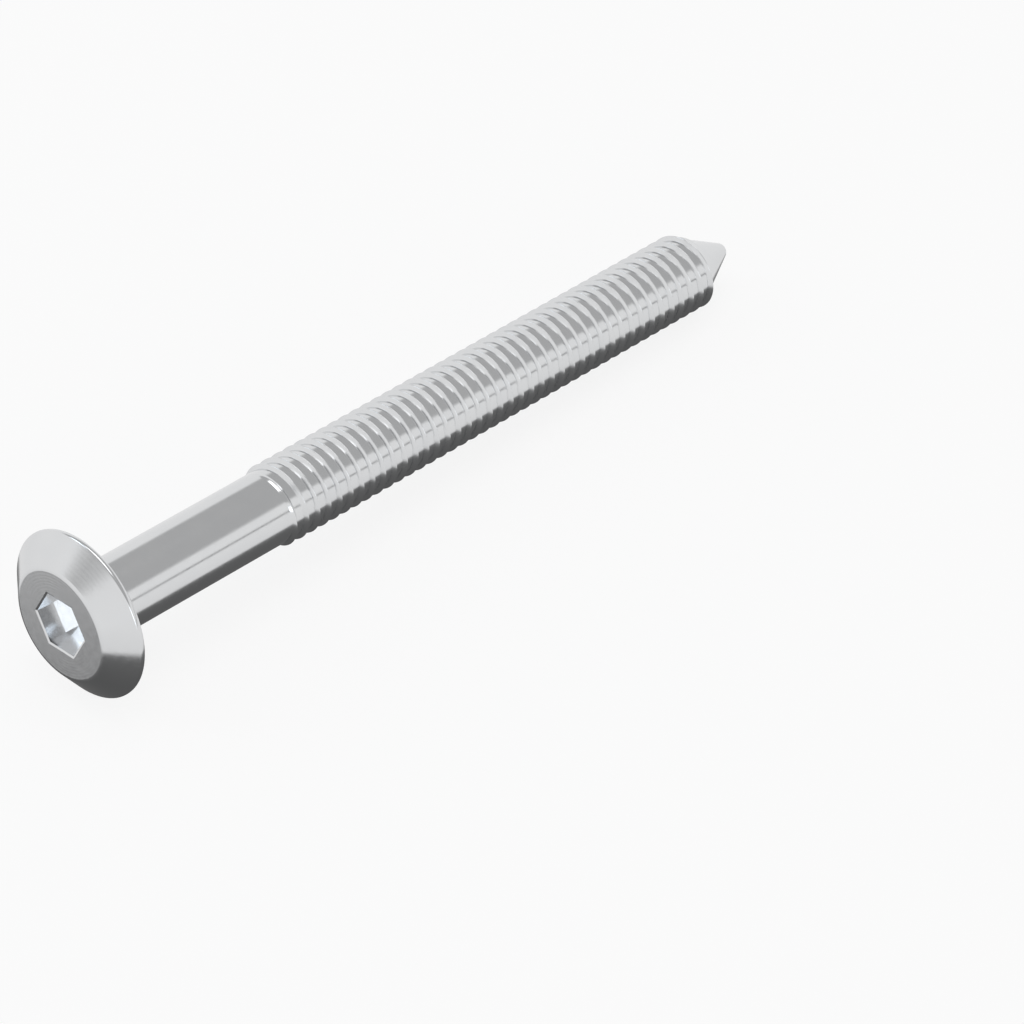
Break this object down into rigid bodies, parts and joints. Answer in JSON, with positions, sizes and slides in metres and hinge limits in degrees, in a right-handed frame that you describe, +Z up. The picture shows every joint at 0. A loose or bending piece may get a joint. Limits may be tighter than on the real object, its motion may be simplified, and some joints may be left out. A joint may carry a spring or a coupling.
{
  "type": "screw",
  "caption": "Flat-headed joining screw with a bevelled round head, hex socket, plain shank, long rolled thread and cone point.",
  "frame": {"origin": "centre of the bounding box's bottom, on the surface that the screw lies on", "axes": "+X from the head to the point along the screw's length, +Z up; the axis dips 3.1 degrees towards the point because the head's rim and the thread both touch the surface"},
  "size_m": [0.0878, 0.0164, 0.0164],
  "materials": {
    "plated_steel": "bright zinc or nickel plating over steel, smooth, with a soft sheen"
  },
  "bodies": {
    "root": {"screw": "plated_steel"}
  },
  "joints": []
}
